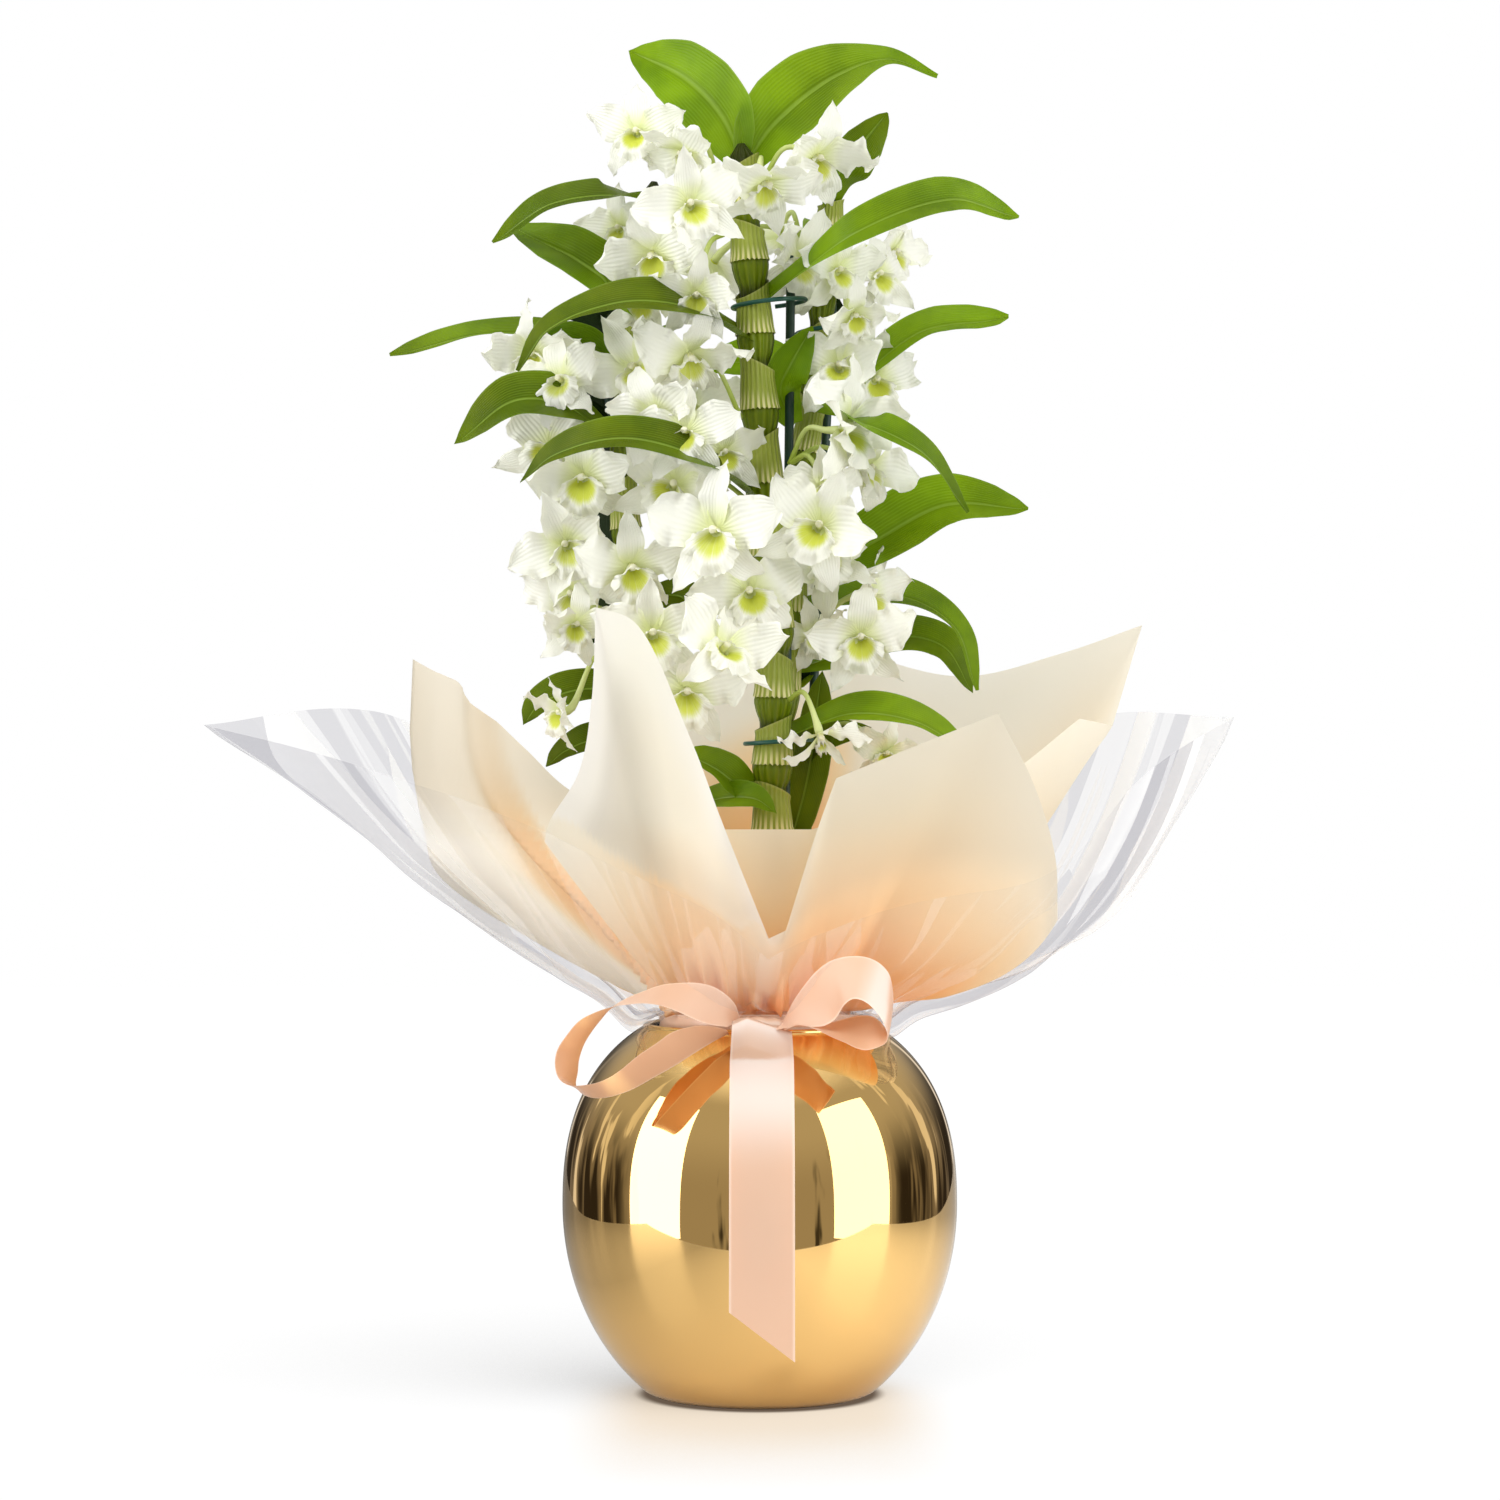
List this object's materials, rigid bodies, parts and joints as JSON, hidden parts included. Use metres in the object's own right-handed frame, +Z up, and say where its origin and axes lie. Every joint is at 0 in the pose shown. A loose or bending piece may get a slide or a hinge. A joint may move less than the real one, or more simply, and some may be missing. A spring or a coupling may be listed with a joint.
{
  "type": "wrapped dendrobium orchid in a globe vase",
  "caption": "White dendrobium orchid with leafy canes, potted inside a gold globe vase, wrapped in paper and clear film and tied with a satin ribbon bow",
  "frame": {"origin": "centre of the vase's flat foot, on the surface that it stands on", "axes": "+Z up, the bow and the ribbon's tail face -Y, +X to the right seen from the front"},
  "size_m": [0.5026, 0.2298, 0.6545],
  "materials": {
    "gold_vase": "polished",
    "pot_plastic": "matte",
    "bark": "matte",
    "leaf_green": "satin",
    "stake_plastic": "satin",
    "tie_wire": "satin",
    "petal": "satin",
    "wrap_paper": "satin",
    "film": "gloss",
    "satin": "satin"
  },
  "bodies": {
    "root": {"bow_knot": "satin", "bow_loop_left": "satin", "bow_loop_right": "satin", "cane_front": "leaf_green", "cane_left": "leaf_green", "cane_right": "leaf_green", "cellophane": "film", "nursery_pot": "pot_plastic", "paper_inner": "wrap_paper", "paper_outer": "wrap_paper", "potting_bark": "bark", "ribbon_band": "satin", "ribbon_tail": "satin", "spray_back_middle": "petal", "spray_back_top": "petal", "spray_back_upper": "petal", "spray_front_low": "petal", "spray_front_lower": "petal", "spray_front_middle": "petal", "spray_front_upper": "petal", "spray_left_far": "petal", "spray_left_inner": "petal", "spray_left_low": "petal", "spray_left_lower": "petal", "spray_left_middle": "petal", "spray_left_top": "petal", "spray_middle_left": "petal", "spray_middle_right": "petal", "spray_right_inner": "petal", "spray_right_low": "petal", "spray_right_lower": "petal", "spray_right_middle": "petal", "spray_right_top": "petal", "spray_right_upper": "petal", "spray_top_left": "petal", "spray_top_right": "petal", "spray_upper_front": "petal", "stake_front": "stake_plastic", "stake_left": "stake_plastic", "stake_right": "stake_plastic", "tie_front_lower": "tie_wire", "tie_front_upper": "tie_wire", "tie_left": "tie_wire", "tie_right_lower": "tie_wire", "tie_right_upper": "tie_wire", "vase": "gold_vase"}
  },
  "joints": []
}
